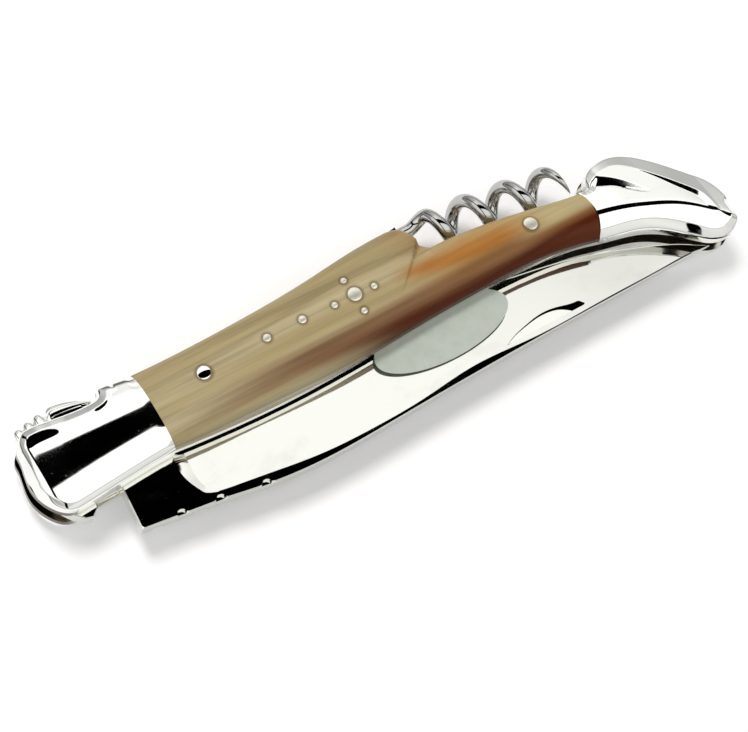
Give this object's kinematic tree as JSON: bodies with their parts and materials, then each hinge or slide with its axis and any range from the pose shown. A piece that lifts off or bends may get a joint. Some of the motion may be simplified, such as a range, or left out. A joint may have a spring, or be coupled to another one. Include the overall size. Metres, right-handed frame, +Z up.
{
  "type": "folding corkscrew knife",
  "caption": "Folding pocket knife with a corkscrew: horn scales between polished bolsters, a slim pointed blade that folds into the handle and a worm that folds onto its back.",
  "frame": {"origin": "centre of the bounding box in plan, on the table that the folded knife lies on", "axes": "+X along the handle towards the tail, +Y towards the back where the corkscrew lies, +Z up, square to the knife's side"},
  "size_m": [0.1216, 0.0282, 0.0144],
  "materials": {
    "horn": "polished cattle horn, khaki streaks turning red-brown towards the tail",
    "bolster_steel": "mirror-polished steel",
    "liner_steel": "polished steel plate",
    "spring_steel": "mirror-polished spring steel",
    "spacer_brass": "dull pale metal",
    "pin_steel": "polished steel, domed heads",
    "blade_steel": "mirror-polished steel",
    "label_paper": "satin paper, blank",
    "corkscrew_steel": "mirror-polished steel wire and flat"
  },
  "bodies": {
    "handle": {"upper_liner": "liner_steel", "lower_liner": "liner_steel", "upper_scale": "horn", "lower_scale": "horn", "upper_front_bolster": "bolster_steel", "lower_front_bolster": "bolster_steel", "upper_rear_bolster": "bolster_steel", "lower_rear_bolster": "bolster_steel", "back_spring": "spring_steel", "spring_ornament": "spring_steel", "corkscrew_spring": "spring_steel", "tail_spacer": "spacer_brass", "blade_pivot_pin": "pin_steel", "corkscrew_pivot_pin": "pin_steel", "rear_pin": "pin_steel", "tail_pin": "pin_steel", "spring_pins": "pin_steel", "upper_front_rivet": "pin_steel", "lower_front_rivet": "pin_steel", "upper_cross_pins": "pin_steel", "lower_cross_pins": "pin_steel"},
    "blade": {"blade": "blade_steel", "blade_label": "label_paper"},
    "corkscrew": {"corkscrew_tang": "corkscrew_steel", "worm": "corkscrew_steel"}
  },
  "joints": [
    {"name": "blade_hinge", "type": "hinge", "parent": "handle", "child": "blade", "pos_m": [-0.0535, 0.0012, 0.0072], "axis": [0, 0, -1], "range_deg": [0, 174]},
    {"name": "corkscrew_hinge", "type": "hinge", "parent": "handle", "child": "corkscrew", "pos_m": [-0.0033, 0.00495, 0.0072], "axis": [0, 0, 1], "range_deg": [0, 90]}
  ]
}
